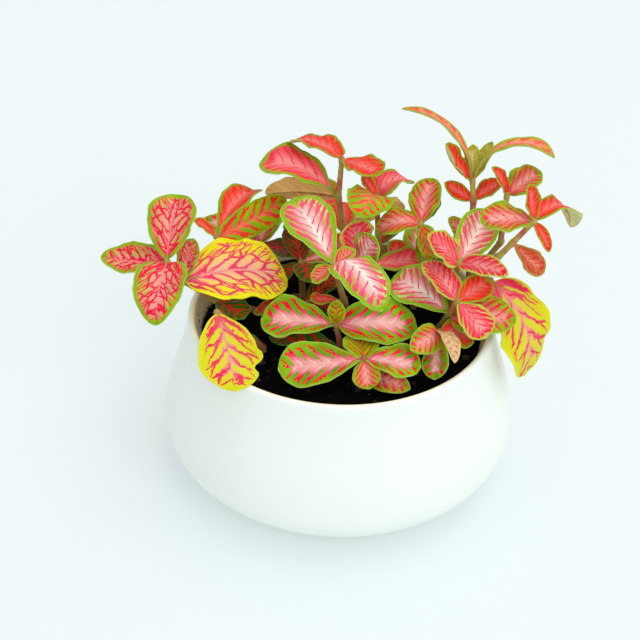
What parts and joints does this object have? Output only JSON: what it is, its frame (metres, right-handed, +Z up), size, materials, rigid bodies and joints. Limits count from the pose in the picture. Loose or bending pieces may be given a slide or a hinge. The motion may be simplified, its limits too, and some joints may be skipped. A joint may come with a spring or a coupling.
{
  "type": "potted nerve plant",
  "caption": "Nerve plant with pink-veined green leaves on leafy stems, in a low round white glazed pot filled with dark soil.",
  "frame": {"origin": "centre of the pot's flat base, on the surface it stands on", "axes": "+Z up along the pot's axis, -Y towards the picture's front, +X along the plant's longest spread"},
  "size_m": [0.2114, 0.16, 0.1562],
  "materials": {
    "pot_glaze": "white satin glaze",
    "soil": "dark loose potting soil",
    "foliage_green": "matte lime green leaves with pink centres and veins",
    "foliage_pink": "matte coral pink leaves with green edges",
    "foliage_pale": "matte pale pink leaves with green edges",
    "foliage_yellow": "matte old yellow leaves with magenta veins"
  },
  "bodies": {
    "root": {"pot": "pot_glaze", "soil": "soil", "leafy_stem_front": "foliage_green", "leafy_stem_front_low": "foliage_green", "leafy_stem_centre": "foliage_pale", "leafy_stem_behind_centre": "foliage_pale", "leafy_stem_back_right": "foliage_pink", "leafy_stem_back": "foliage_pink", "leafy_stem_back_tall": "foliage_pink", "leafy_stem_left_back": "foliage_pink", "leafy_stem_left": "foliage_green", "leafy_stem_right": "foliage_green", "leafy_stem_right_edge": "foliage_yellow", "leafy_stem_right_front": "foliage_pink", "leafy_stem_tall": "foliage_green", "leafy_stem_far_right": "foliage_pink", "leafy_stem_far_back": "foliage_pink", "leafy_stem_right_low": "foliage_green", "leafy_stem_left_front": "foliage_yellow", "leafy_stem_inner_left": "foliage_green", "leafy_stem_inner_centre": "foliage_green", "leafy_stem_back_low_left": "foliage_green", "leafy_stem_back_low": "foliage_green", "leafy_stem_back_low_right": "foliage_green", "leafy_stem_back_far_right": "foliage_green"}
  },
  "joints": []
}
